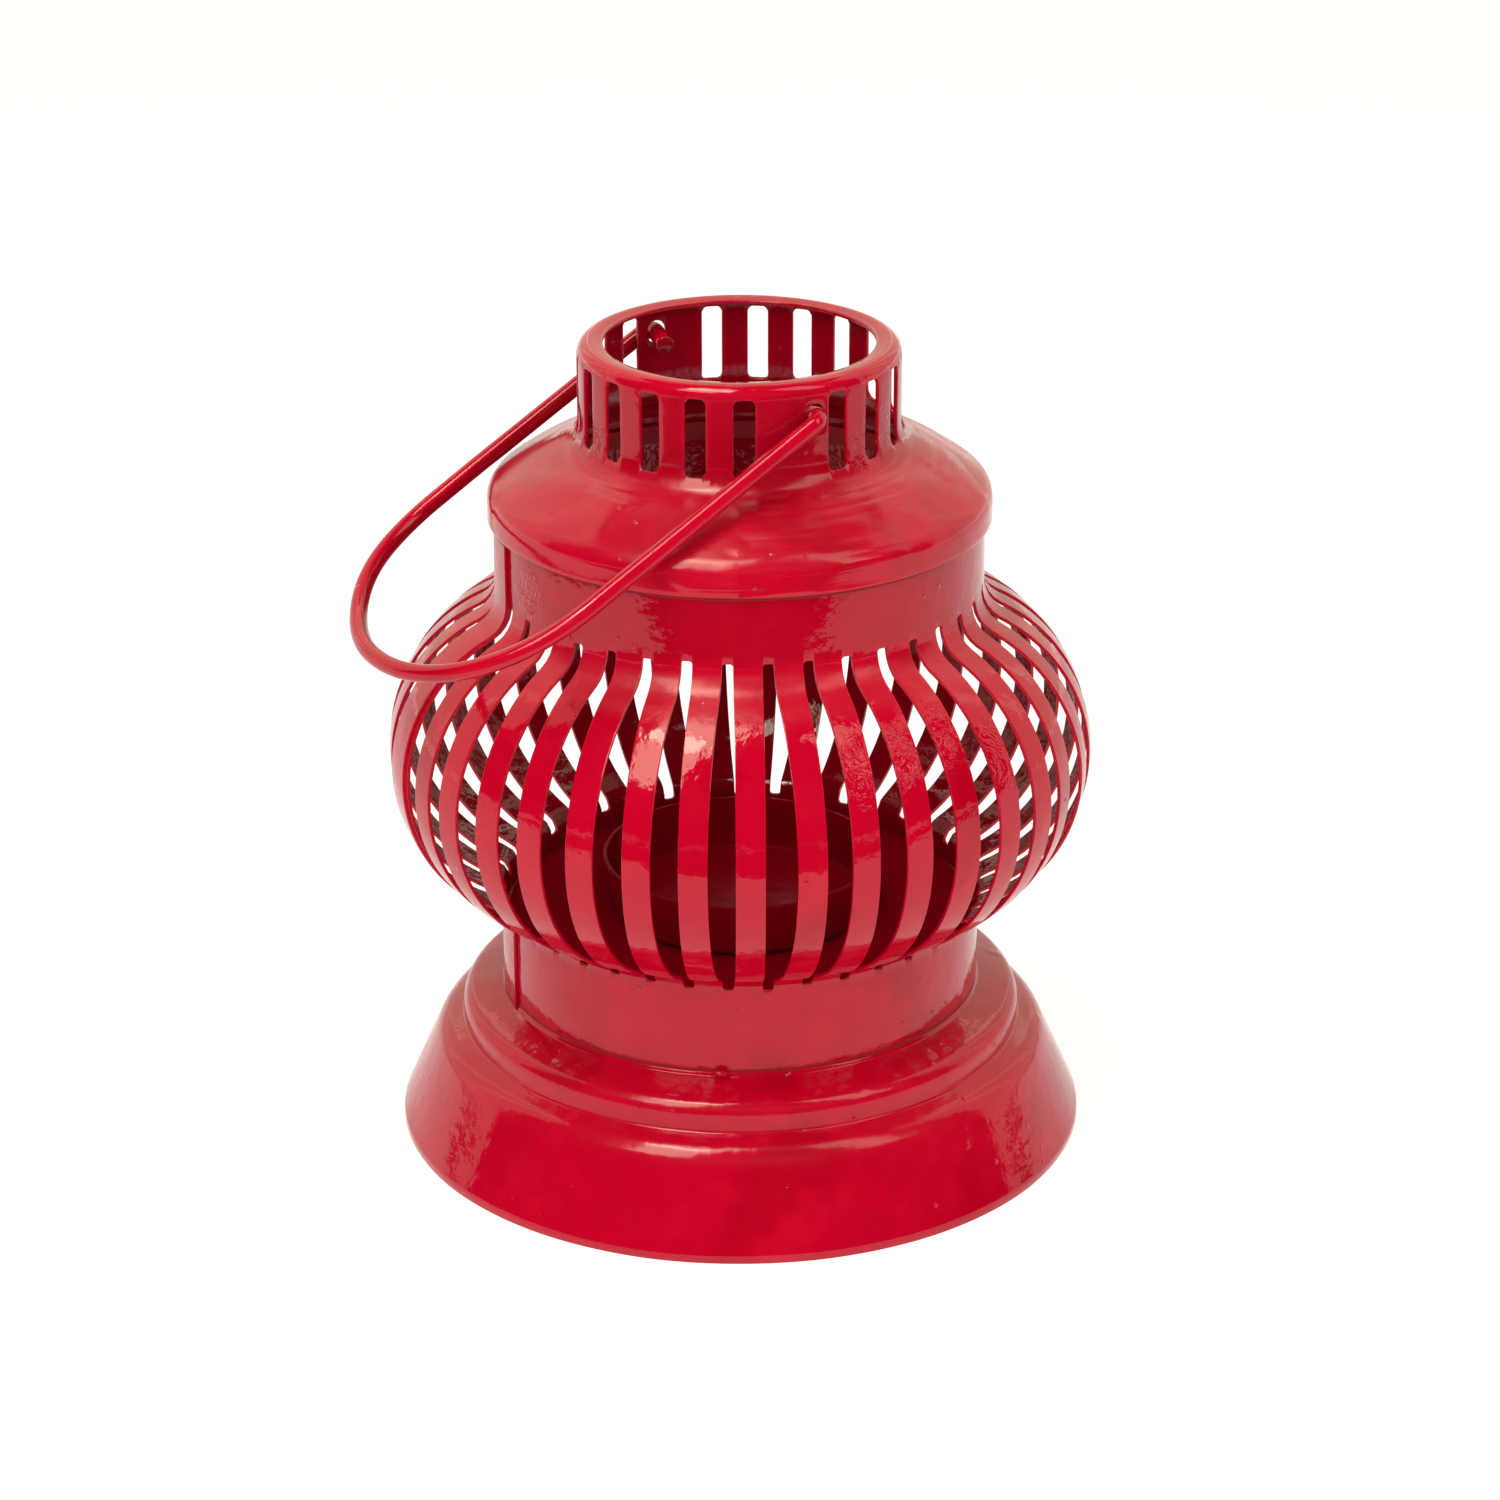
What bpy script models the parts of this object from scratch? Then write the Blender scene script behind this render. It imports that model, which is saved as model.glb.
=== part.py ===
"""Slotted tealight lantern in the shape of an oil lamp: spun base and cap, rolled cage, wire bail.

Metres, +Z up. The lantern stands on Z = 0 with its axis on Z. Azimuth 0 looks down -Y and grows
towards +X.
"""

import math

import bmesh
import bpy
from mathutils import Matrix, Vector

# Sheet, wire and fits
SPUN_SHEET = 0.0006
CAGE_SHEET = 0.0005
WIRE_RADIUS = 0.0013
TOUCH_GAP = 0.0003
LID_FIT = 0.0004
HOLE_FIT = 0.0004

# Cage: one strip, slotted, rolled round and bulged
BAND_RADIUS = 0.0360
BULGE_DEPTH = 0.0161
BULGE_HEIGHT = 0.0603
BULGE_ARC = 0.0244
SLOT_BOTTOM = 0.0360
SLOT_TOP = 0.0865
SLOT_COUNT = 39
SLOT_WIDTH = 0.0016
SLOT_STEP = 9.15
SLOT_TURN = -66.55
BAND_IN_BASE = 0.0028
BAND_IN_LID = 0.0021

# Base skirt
SKIRT_FLARE = 0.0062
LEDGE_HEIGHT = 0.0223
LEDGE_FALL = 0.0020
LEDGE_WIDTH = 0.0061
STEP_HEIGHT = 0.0041
SHOULDER_WIDTH = 0.0034
SHOULDER_FALL = 0.0013
RIM_HEIGHT = 0.0012
COLLAR_DEPTH = 0.0026
COLLAR_ROUND = 0.0008
RIM_ROUND = 0.0015
RIDGE_ROUND = 0.0025
GROOVE_ROUND = 0.0006
SHOULDER_ROUND = 0.0045

# Tray and candle cup
TRAY_HEIGHT = 0.0333
CUP_RIM_RADIUS = 0.0208
CUP_FLOOR_RADIUS = 0.0196
CUP_DEPTH = 0.0083
CUP_ROUND = 0.0012

# Cap with its neck
LIP_HEIGHT = 0.0044
NECK_RADIUS = 0.02355
NECK_HEIGHT = 0.0149
MOUTH_INSET = 0.00385
MOUTH_DROP = 0.0007
DOME_RISE = 0.0074
LIP_BOTTOM = 0.0965
MOUTH_ROUND = 0.0019
NECK_FILLET = 0.0045
LIP_ROUND = 0.0035
DOME_CROWN_SHARE = 0.0669
DOME_ROUND_SHARE = 2.974

# Neck slots and the two holes for the bail
NECK_SLOT_PLACES = 21
NECK_SLOT_TURN = 2.0
NECK_SLOT_SKIPPED = (1, 12)
NECK_SLOT_WIDTH = 0.0031
NECK_SLOT_DROP = 0.0023
NECK_SLOT_LENGTH = 0.0114
NECK_SLOT_ROUND = 0.0008
HINGE_DROP = 0.0053
FRONT_HOLE_TURN = 27.2
BACK_HOLE_TURN = 212.8

# Bail
BAIL_REACH = 0.0670
BAIL_HOOK = 0.0052
BAIL_HOOK_LEAN = 0.0013
BAIL_LEAN = 0.035
BAIL_BEND = 0.0016

# Weld beads between base and cage
BEAD_COUNT = 3
BEAD_TURN = -4.2
BEAD_RADIUS = 0.0006
BEAD_STRETCH = 2.0

# Facets
TURNED_STEPS = 60
CUP_STEPS = 48
ROUND_STEPS = 3
BULGE_STEPS = 8
BEND_STEPS = 3
LOOP_STEPS = 14
WIRE_RESOLUTION = 2
HOLE_SIDES = 16

# Sizes that follow from the ones above
BULGE_RADIUS = BAND_RADIUS + BULGE_DEPTH
BASE_HOLE_RADIUS = BAND_RADIUS + TOUCH_GAP
BASE_RADIUS = BASE_HOLE_RADIUS + LEDGE_WIDTH + SHOULDER_WIDTH + SKIRT_FLARE
LIP_RADIUS = BAND_RADIUS + LID_FIT + SPUN_SHEET
DOME_CROWN = DOME_CROWN_SHARE * (LIP_RADIUS - NECK_RADIUS)
DOME_ROUND = DOME_ROUND_SHARE * (LIP_RADIUS - NECK_RADIUS)
BAND_BOTTOM = LEDGE_HEIGHT - BAND_IN_BASE
BAND_TOP = LIP_BOTTOM + BAND_IN_LID
SHOULDER_HEIGHT = LIP_BOTTOM + LIP_HEIGHT
NECK_TOP = SHOULDER_HEIGHT + DOME_RISE + NECK_HEIGHT
NECK_SLOT_HIGH = NECK_TOP - NECK_SLOT_DROP
NECK_SLOT_LOW = NECK_SLOT_HIGH - NECK_SLOT_LENGTH
HINGE_HEIGHT = NECK_TOP - HINGE_DROP
MOUTH_RADIUS = NECK_RADIUS - MOUTH_INSET
SLOT_PITCH = math.radians(SLOT_STEP)
SLAT_WIDTH = SLOT_PITCH * BAND_RADIUS - SLOT_WIDTH
BAIL_HOLE_RADIUS = WIRE_RADIUS + HOLE_FIT
BAIL_HALF_SPAN = NECK_RADIUS + WIRE_RADIUS + TOUCH_GAP
CUTTER_DEPTH = NECK_RADIUS / 4

PAINT_RED = (0.50, 0.004, 0.018, 1.0)
WIRE_RED = (0.55, 0.005, 0.020, 1.0)
BEAD_RED = (0.42, 0.003, 0.014, 1.0)


def on_circle(radius, turn, height):
    """The point at this radius, azimuth in radians and height."""
    return Vector((radius * math.sin(turn), -radius * math.cos(turn), height))


FRONT_HOLE = on_circle(NECK_RADIUS, math.radians(FRONT_HOLE_TURN), HINGE_HEIGHT)
BACK_HOLE = on_circle(NECK_RADIUS, math.radians(BACK_HOLE_TURN), HINGE_HEIGHT)
HINGE_CENTRE = (FRONT_HOLE + BACK_HOLE) / 2
HINGE_AXIS = (FRONT_HOLE - BACK_HOLE).normalized()
HINGE_SIDE = HINGE_AXIS.cross(Vector((0, 0, 1)))


def clear_scene():
    """Remove whatever the scene starts with."""
    for item in list(bpy.data.objects):
        bpy.data.objects.remove(item, do_unlink=True)


def new_collection(name):
    """A collection under the scene's own."""
    group = bpy.data.collections.new(name)
    bpy.context.scene.collection.children.link(group)
    return group


def paint(name, colour, roughness):
    """Gloss enamel over sheet iron."""
    material = bpy.data.materials.new(name)
    material.use_nodes = True
    shader = material.node_tree.nodes["Principled BSDF"]
    shader.inputs["Base Color"].default_value = colour
    shader.inputs["Roughness"].default_value = roughness
    shader.inputs["Metallic"].default_value = 0.0
    return material


def add_object(name, data, group, material):
    """Link one named object and give it its material."""
    item = bpy.data.objects.new(name, data)
    group.objects.link(item)
    if material:
        item.data.materials.append(material)
    return item


def rounded(corners, steps):
    """An open outline through corners (x, y, fillet radius), each fillet drawn as an arc."""
    points = []
    for index, (x, y, radius) in enumerate(corners):
        here = Vector((x, y))
        if radius == 0:
            points.append(here)
            continue
        back = (Vector(corners[index - 1][:2]) - here).normalized()
        ahead = (Vector(corners[index + 1][:2]) - here).normalized()
        half = back.angle(ahead) / 2
        middle = here + (back + ahead).normalized() * radius / math.sin(half)
        start = here + back * radius / math.tan(half) - middle
        sweep = start.angle_signed(here + ahead * radius / math.tan(half) - middle)
        for step in range(steps + 1):
            points.append(middle + Matrix.Rotation(-sweep * step / steps, 2) @ start)
    return points


def turned_shell(name, outline, steps, thickness, group, material):
    """A spun sheet: the outline of its outer face, turned about Z and thickened inwards."""
    mesh = bpy.data.meshes.new(name)
    edges = [(index, index + 1) for index in range(len(outline) - 1)]
    mesh.from_pydata([(point.x, 0, point.y) for point in outline], edges, [])
    item = add_object(name, mesh, group, material)
    turn = item.modifiers.new("turn", "SCREW")
    turn.steps = steps
    turn.render_steps = steps
    turn.use_merge_vertices = True
    turn.merge_threshold = 0.00001
    turn.use_smooth_shade = True
    wall = item.modifiers.new("wall", "SOLIDIFY")
    wall.thickness = thickness
    wall.offset = -1
    wall.use_even_offset = True
    return item


def base_skirt(group, material):
    """The spun foot: a ledge round the cage, a step, a shoulder and a flared skirt."""
    ridge_radius = BASE_HOLE_RADIUS + LEDGE_WIDTH
    ridge_height = LEDGE_HEIGHT - LEDGE_FALL
    groove_height = ridge_height - STEP_HEIGHT
    corners = [
        (BASE_HOLE_RADIUS, LEDGE_HEIGHT - COLLAR_DEPTH, 0),
        (BASE_HOLE_RADIUS, LEDGE_HEIGHT, COLLAR_ROUND),
        (ridge_radius, ridge_height, RIDGE_ROUND),
        (ridge_radius, groove_height, GROOVE_ROUND),
        (ridge_radius + SHOULDER_WIDTH, groove_height - SHOULDER_FALL, SHOULDER_ROUND),
        (BASE_RADIUS, RIM_HEIGHT, RIM_ROUND),
        (BASE_RADIUS, 0, 0),
    ]
    outline = rounded(corners, ROUND_STEPS)
    return turned_shell("base_skirt", outline, TURNED_STEPS, SPUN_SHEET, group, material)


def bend_radius(end_height):
    """Radius of the bend that carries a slat from the band into the bulge at this slot end."""
    run = abs(end_height - BULGE_HEIGHT)
    inset = BAND_RADIUS - (BULGE_RADIUS - BULGE_ARC)
    return (run**2 - BULGE_ARC**2 + inset**2) / (2 * (BULGE_ARC - inset))


def slat_path(end_height, side):
    """Radius and height along half a slat, from the slot's end to the middle of the bulge."""
    bend = bend_radius(end_height)
    centre = Vector((BULGE_RADIUS - BULGE_ARC, BULGE_HEIGHT))
    pivot = Vector((BAND_RADIUS + bend, end_height))
    lean = math.atan2(abs(pivot.y - centre.y), pivot.x - centre.x)
    points = []
    for step in range(BEND_STEPS):
        turn = lean * step / BEND_STEPS
        points.append(pivot + Vector((-bend * math.cos(turn), -side * bend * math.sin(turn))))
    for step in range(BULGE_STEPS // 2 + 1):
        turn = lean * (1 - 2 * step / BULGE_STEPS)
        points.append(centre + Vector((BULGE_ARC * math.cos(turn), side * BULGE_ARC * math.sin(turn))))
    return points


def cage_rows():
    """Radius and height of each row of the strip, bottom to top."""
    lower = slat_path(SLOT_BOTTOM, -1)
    upper = slat_path(SLOT_TOP, 1)
    rows = [Vector((BAND_RADIUS, BAND_BOTTOM))]
    rows += lower
    rows += upper[-2::-1]
    rows.append(Vector((BAND_RADIUS, BAND_TOP)))
    return rows


def cage(group, material):
    """The slotted strip, rolled into a ring: plain bands top and bottom, bulged slats between.

    The slots are punched at one step. The slat where the strip's ends meet takes what is left over.
    """
    rows = cage_rows()
    mesh = bpy.data.meshes.new("cage")
    strip = bmesh.new()
    columns = 2 * SLOT_COUNT
    bmesh.ops.create_grid(strip, x_segments=columns, y_segments=len(rows) - 1, size=1)
    in_slot = []
    for face in strip.faces:
        middle = face.calc_center_median()
        column = math.floor((middle.x + 1) / 2 * columns)
        row = math.floor((middle.y + 1) / 2 * (len(rows) - 1))
        if column % 2 == 0 and 0 < row < len(rows) - 2:
            in_slot.append(face)
    bmesh.ops.delete(strip, geom=in_slot, context="FACES")
    for vertex in strip.verts:
        column = round((vertex.co.x + 1) / 2 * columns)
        radius, height = rows[round((vertex.co.y + 1) / 2 * (len(rows) - 1))]
        slat_number = math.floor((column % columns - 1) / 2) + 1
        half_slat = SLAT_WIDTH / 2 / radius
        edge = -half_slat if column % 2 else half_slat
        turn = math.radians(SLOT_TURN) + (slat_number - 0.5) * SLOT_PITCH + edge
        vertex.co = on_circle(radius, turn, height)
    bmesh.ops.remove_doubles(strip, verts=strip.verts, dist=TOUCH_GAP / 10)
    bmesh.ops.recalc_face_normals(strip, faces=strip.faces)
    strip.to_mesh(mesh)
    strip.free()
    item = add_object("cage", mesh, group, material)
    wall = item.modifiers.new("wall", "SOLIDIFY")
    wall.thickness = CAGE_SHEET
    wall.offset = -1
    return item


def tray(group, material):
    """The flat disc inside the lower band that carries the candle cup."""
    bpy.ops.mesh.primitive_cylinder_add(
        vertices=TURNED_STEPS,
        radius=BAND_RADIUS - CAGE_SHEET - TOUCH_GAP,
        depth=SPUN_SHEET,
        location=(0, 0, TRAY_HEIGHT - SPUN_SHEET / 2),
    )
    item = bpy.context.object
    item.name = "tray"
    for other in list(item.users_collection):
        other.objects.unlink(item)
    group.objects.link(item)
    item.data.materials.append(material)
    return item


def candle_cup(group, material):
    """The shallow open cup that a tealight stands in."""
    floor = TRAY_HEIGHT + TOUCH_GAP
    corners = [
        (CUP_RIM_RADIUS, floor + CUP_DEPTH, 0),
        (CUP_FLOOR_RADIUS, floor, CUP_ROUND),
        (0, floor, 0),
    ]
    outline = rounded(corners, ROUND_STEPS)
    return turned_shell("candle_cup", outline, CUP_STEPS, SPUN_SHEET, group, material)


def slot_cutter(turn, group):
    """A rounded block that punches one tall slot through the neck."""
    bpy.ops.mesh.primitive_cube_add(size=1)
    block = bpy.context.object
    block.name = "neck_slot_cutter"
    block.scale = (NECK_SLOT_WIDTH, CUTTER_DEPTH, NECK_SLOT_HIGH - NECK_SLOT_LOW)
    bpy.ops.object.transform_apply(location=False, rotation=False, scale=True)
    block.location = on_circle(NECK_RADIUS, turn, (NECK_SLOT_LOW + NECK_SLOT_HIGH) / 2)
    block.rotation_euler.z = turn
    weights = block.data.attributes.new("bevel_weight_edge", "FLOAT", "EDGE")
    for edge in block.data.edges:
        first, second = (block.data.vertices[index].co for index in edge.vertices)
        through_wall = abs(first.y - second.y) > NECK_SLOT_ROUND
        weights.data[edge.index].value = 1.0 if through_wall else 0.0
    corner = block.modifiers.new("corners", "BEVEL")
    corner.width = NECK_SLOT_ROUND
    corner.segments = 2
    corner.limit_method = "WEIGHT"
    hide_cutter(block, group)


def hole_cutter(centre, name, group):
    """A short rod along the hinge that punches one hole for the bail."""
    bpy.ops.mesh.primitive_cylinder_add(
        vertices=HOLE_SIDES,
        radius=BAIL_HOLE_RADIUS,
        depth=CUTTER_DEPTH,
        location=centre,
        rotation=HINGE_AXIS.to_track_quat("Z", "Y").to_euler(),
    )
    rod = bpy.context.object
    rod.name = name
    hide_cutter(rod, group)


def hide_cutter(item, group):
    """Keep a cutter out of the render, in the cutters' own collection."""
    for other in list(item.users_collection):
        other.objects.unlink(item)
    group.objects.link(item)
    item.hide_render = True
    item.display_type = "WIRE"


def cap(group, cutters, material):
    """The spun cap: a rolled mouth, a slotted neck, a dome and a lip that drops over the cage."""
    corner_height = SHOULDER_HEIGHT + DOME_RISE
    crown_radius = (NECK_RADIUS + LIP_RADIUS) / 2
    crown_height = SHOULDER_HEIGHT + DOME_RISE / 2 + DOME_CROWN
    corners = [
        (MOUTH_RADIUS, NECK_TOP - MOUTH_DROP, 0),
        (NECK_RADIUS, NECK_TOP, MOUTH_ROUND),
        (NECK_RADIUS, corner_height, NECK_FILLET),
        (crown_radius, crown_height, DOME_ROUND),
        (LIP_RADIUS, SHOULDER_HEIGHT, LIP_ROUND),
        (LIP_RADIUS, LIP_BOTTOM, 0),
    ]
    outline = rounded(corners, ROUND_STEPS)
    item = turned_shell("cap", outline, TURNED_STEPS, SPUN_SHEET, group, material)
    for place in range(NECK_SLOT_PLACES):
        if place not in NECK_SLOT_SKIPPED:
            turn = math.radians(NECK_SLOT_TURN) + 2 * math.pi * place / NECK_SLOT_PLACES
            slot_cutter(turn, cutters)
    hole_cutter(FRONT_HOLE, "front_hole_cutter", cutters)
    hole_cutter(BACK_HOLE, "back_hole_cutter", cutters)
    punch = item.modifiers.new("punch", "BOOLEAN")
    punch.operation = "DIFFERENCE"
    punch.solver = "EXACT"
    punch.operand_type = "COLLECTION"
    punch.collection = cutters
    return item


def bail_drop():
    """Angle below level at which the bail's legs rest on the shoulder of the cap."""
    near_leg = BAIL_HALF_SPAN - BAIL_LEAN * LIP_RADIUS
    across = math.sqrt(LIP_RADIUS**2 - near_leg**2)
    reach = across - HINGE_CENTRE.dot(HINGE_SIDE)
    fall = HINGE_HEIGHT - SHOULDER_HEIGHT
    slant = math.hypot(1, fall / reach * LIP_RADIUS / across)
    return math.atan2(fall - (WIRE_RADIUS + TOUCH_GAP) * slant, reach)


def bail(group, material):
    """The round wire handle, hooked through the neck at both ends and lying on the cap."""
    in_wall = NECK_RADIUS - SPUN_SHEET / 2
    tip = in_wall - BAIL_HOOK
    heel = -BAIL_HOOK_LEAN * (BAIL_HALF_SPAN - in_wall) / BAIL_HOOK
    corners = [
        (tip, BAIL_HOOK_LEAN, 0),
        (BAIL_HALF_SPAN, heel, BAIL_BEND),
        (BAIL_HALF_SPAN, BAIL_REACH, BAIL_HALF_SPAN - TOUCH_GAP),
        (-BAIL_HALF_SPAN, BAIL_REACH, BAIL_HALF_SPAN - TOUCH_GAP),
        (-BAIL_HALF_SPAN, heel, BAIL_BEND),
        (-tip, BAIL_HOOK_LEAN, 0),
    ]
    path = rounded(corners, LOOP_STEPS)
    curve = bpy.data.curves.new("bail", "CURVE")
    curve.dimensions = "3D"
    curve.bevel_depth = WIRE_RADIUS
    curve.bevel_resolution = WIRE_RESOLUTION
    curve.use_fill_caps = True
    spline = curve.splines.new("POLY")
    spline.points.add(len(path) - 1)
    for point, place in zip(spline.points, path):
        lean = BAIL_LEAN * max(place.y - BAIL_BEND, 0)
        point.co = (place.x + lean, place.y, 0, 1)
    item = add_object("bail", curve, group, material)
    drop = bail_drop()
    outward = HINGE_SIDE * math.cos(drop) - Vector((0, 0, 1)) * math.sin(drop)
    turn = Matrix((HINGE_AXIS, outward, HINGE_AXIS.cross(outward))).transposed()
    item.matrix_world = Matrix.Translation(HINGE_CENTRE) @ turn.to_4x4()
    return item


def weld_bead(index, group, material):
    """One bead of weld in the corner between the cage and the base's ledge."""
    turn = math.radians(BEAD_TURN) + 2 * math.pi * index / BEAD_COUNT
    radius = BAND_RADIUS + TOUCH_GAP + BEAD_RADIUS
    height = LEDGE_HEIGHT + BEAD_RADIUS
    bpy.ops.mesh.primitive_uv_sphere_add(segments=12, ring_count=8, radius=BEAD_RADIUS)
    item = bpy.context.object
    item.name = f"weld_bead_{index + 1}"
    item.scale.x = BEAD_STRETCH
    bpy.ops.object.transform_apply(location=False, rotation=False, scale=True)
    bpy.ops.object.shade_smooth()
    item.location = on_circle(radius, turn, height)
    item.rotation_euler.z = turn
    for other in list(item.users_collection):
        other.objects.unlink(item)
    group.objects.link(item)
    item.data.materials.append(material)
    return item


def main():
    clear_scene()
    lantern = new_collection("slotted_lantern")
    cutters = new_collection("cutters")
    base_skirt(lantern, paint("base_paint", PAINT_RED, 0.20))
    cage(lantern, paint("cage_paint", PAINT_RED, 0.16))
    tray(lantern, paint("tray_paint", PAINT_RED, 0.30))
    candle_cup(lantern, paint("cup_paint", PAINT_RED, 0.28))
    cap(lantern, cutters, paint("cap_paint", PAINT_RED, 0.22))
    bail(lantern, paint("bail_paint", WIRE_RED, 0.15))
    bead_paint = paint("bead_paint", BEAD_RED, 0.25)
    for index in range(BEAD_COUNT):
        weld_bead(index, lantern, bead_paint)


main()
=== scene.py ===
"""A slotted tealight lantern in the shape of an oil lamp, in gloss red enamel over sheet iron.

Metres, +Z up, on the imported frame. Azimuth 0 faces -Y and grows towards +X.
"""

import math
import random

import bmesh
import bpy
from mathutils import Matrix, Vector


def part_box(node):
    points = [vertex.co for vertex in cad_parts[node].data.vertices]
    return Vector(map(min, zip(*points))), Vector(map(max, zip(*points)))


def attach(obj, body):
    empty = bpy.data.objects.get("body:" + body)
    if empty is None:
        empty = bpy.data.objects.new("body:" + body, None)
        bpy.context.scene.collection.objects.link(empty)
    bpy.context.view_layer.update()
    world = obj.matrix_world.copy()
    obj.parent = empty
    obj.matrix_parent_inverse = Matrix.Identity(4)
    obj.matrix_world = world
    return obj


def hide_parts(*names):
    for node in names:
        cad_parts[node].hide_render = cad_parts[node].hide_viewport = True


bl_info = {
    "name": "Slotted Tealight Lantern",
    "version": (1, 0, 0),
    "blender": (4, 5, 0),
    "location": "View3D > Sidebar > Lantern",
    "description": "Builds a red enamelled tealight lantern piece by piece",
    "category": "Add Mesh",
}

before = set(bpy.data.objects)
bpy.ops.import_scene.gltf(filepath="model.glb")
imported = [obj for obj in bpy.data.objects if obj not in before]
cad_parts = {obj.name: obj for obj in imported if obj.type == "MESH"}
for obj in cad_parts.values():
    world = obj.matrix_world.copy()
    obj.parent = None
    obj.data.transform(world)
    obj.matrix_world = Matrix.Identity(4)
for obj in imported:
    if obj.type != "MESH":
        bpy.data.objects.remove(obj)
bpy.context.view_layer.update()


def node_top(name):
    """Height of the top of a frame node."""
    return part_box(name)[1].z


def node_foot(name):
    """Height of the bottom of a frame node."""
    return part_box(name)[0].z


# ---------------------------------------------------------------- settings


def length(name, description, default):
    """A setting that is a length in metres."""
    return bpy.props.FloatProperty(name=name, description=description, default=default, unit="LENGTH")


class LanternSheet(bpy.types.PropertyGroup):
    """Sizes of the sheet metal pieces."""

    spun_sheet: length("Spun Sheet", "Thickness of the spun base, cap, tray and cup", 0.0006)
    cage_sheet: length("Cage Sheet", "Thickness of the rolled strip", 0.0005)
    edge_round: length("Edge Round", "How far paint rounds off a cut edge", 0.00012)
    band_radius: length("Band Radius", "Outer radius of the cage's plain bands", 0.0360)
    bulge_radius: length("Bulge Radius", "Outer radius of the slats at their widest", 0.0521)
    bulge_height: length("Bulge Height", "Height of the widest place", 0.0603)
    bulge_arc: length("Bulge Arc", "Radius of the arc the slats follow", 0.0244)
    slot_bottom: length("Slot Bottom", "Height of the lower ends of the slots", 0.0360)
    slot_top: length("Slot Top", "Height of the upper ends of the slots", 0.0865)
    slot_count: bpy.props.IntProperty(
        name="Slots",
        description="How many slots the strip has",
        default=39,
        min=8,
    )
    slot_width: length("Slot Width", "Width of a slot as it was cut", 0.0016)
    slot_step: bpy.props.FloatProperty(
        name="Slot Step",
        description="Azimuth from one slot to the next",
        default=math.radians(9.15),
        subtype="ANGLE",
    )
    slot_turn: bpy.props.FloatProperty(
        name="First Slot",
        description="Azimuth of the first slot",
        default=math.radians(-2.5),
        subtype="ANGLE",
    )
    seam_turn: bpy.props.FloatProperty(
        name="Lap Seam",
        description="Azimuth of the edge where the strip laps over itself",
        default=math.radians(-67.6),
        subtype="ANGLE",
    )
    neck_radius: length("Neck Radius", "Outer radius of the cap's neck", 0.02355)
    mouth_radius: length("Mouth Radius", "Inner radius of the rolled mouth", 0.0197)


class LanternWire(bpy.types.PropertyGroup):
    """Sizes of the wire handle."""

    radius: length("Wire Radius", "Radius of the painted wire", 0.0013)
    reach: length("Reach", "Hinge to the end of the loop", 0.0670)
    hook: length("Hook", "Length of wire inside the neck", 0.0052)


class LanternPaint(bpy.types.PropertyGroup):
    """Colours of the enamel."""

    red: bpy.props.FloatVectorProperty(
        name="Enamel",
        description="Main colour of the enamel",
        default=(0.485, 0.0006, 0.020),
        size=3,
        subtype="COLOR",
        min=0,
        max=1,
    )
    thin_red: bpy.props.FloatVectorProperty(
        name="Thin Enamel",
        description="Colour where the enamel is thin",
        default=(0.54, 0.002, 0.021),
        size=3,
        subtype="COLOR",
        min=0,
        max=1,
    )
    deep_red: bpy.props.FloatVectorProperty(
        name="Deep Enamel",
        description="Colour where the enamel has pooled",
        default=(0.40, 0.0004, 0.013),
        size=3,
        subtype="COLOR",
        min=0,
        max=1,
    )
    # Painted shade: this darker red stands for shade inside the lantern, in shaded height bands and in thin
    # lines under the lip and at the base.
    shade_red: bpy.props.FloatVectorProperty(
        name="Inner Enamel",
        description="Colour of the thin enamel inside",
        default=(0.25, 0.0004, 0.008),
        size=3,
        subtype="COLOR",
        min=0,
        max=1,
    )
    bare: bpy.props.FloatVectorProperty(
        name="Chipped Primer",
        description="Colour in the smallest chips",
        default=(0.10, 0.012, 0.012),
        size=3,
        subtype="COLOR",
        min=0,
        max=1,
    )
    floor: bpy.props.FloatVectorProperty(
        name="Floor",
        description="Colour of the floor",
        default=(0.26, 0.26, 0.26),
        size=3,
        subtype="COLOR",
        min=0,
        max=1,
    )


def sheet_sizes():
    """The sheet settings of the open scene."""
    return bpy.context.scene.lantern_sheet


def wire_sizes():
    """The wire settings of the open scene."""
    return bpy.context.scene.lantern_wire


def paint_colours():
    """The paint settings of the open scene."""
    return bpy.context.scene.lantern_paint


# ---------------------------------------------------------------- fits with the frame

RIM_HEIGHT = 0.0012
LEDGE_HEIGHT = 0.0223
LEDGE_FALL = 0.0020
LEDGE_WIDTH = 0.0061
STEP_HEIGHT = 0.0041
SHOULDER_WIDTH = 0.0034
SHOULDER_FALL = 0.0013
BASE_RADIUS = 0.0520
TOUCH_GAP = 0.0003
LID_FIT = 0.0004
TRAY_HEIGHT = 0.0333
CUP_RIM_RADIUS = 0.0208
CUP_FLOOR_RADIUS = 0.0196
CUP_DEPTH = 0.0083
LIP_BOTTOM = 0.0965
LIP_HEIGHT = 0.0044
DOME_RISE = 0.0074
NECK_TOP = 0.1232
NECK_FOOT = 0.1083
MOUTH_DROP = 0.0007
MOUTH_ROUND = 0.0019
NECK_FILLET = 0.0045
LIP_ROUND = 0.0035
DOME_CROWN = 0.0009
DOME_ROUND = 0.0400
NECK_SLOT_PLACES = 21
NECK_SLOT_TURN = math.radians(2.0)
NECK_SLOT_SKIPPED = (1, 12)
NECK_SLOT_WIDTH = 0.0031
NECK_SLOT_LOW = 0.1095
NECK_SLOT_HIGH = 0.1209
NECK_SLOT_ROUND = 0.0008
HINGE_HEIGHT = 0.1179
HOLE_TURNS = (math.radians(27.2), math.radians(212.8))
HOLE_RADIUS = 0.0017
BAIL_HOOK_LEAN = 0.0013
BAIL_LEAN = 0.035
BAIL_BEND = 0.0016
CARD_DISTANCE = 0.215
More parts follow.
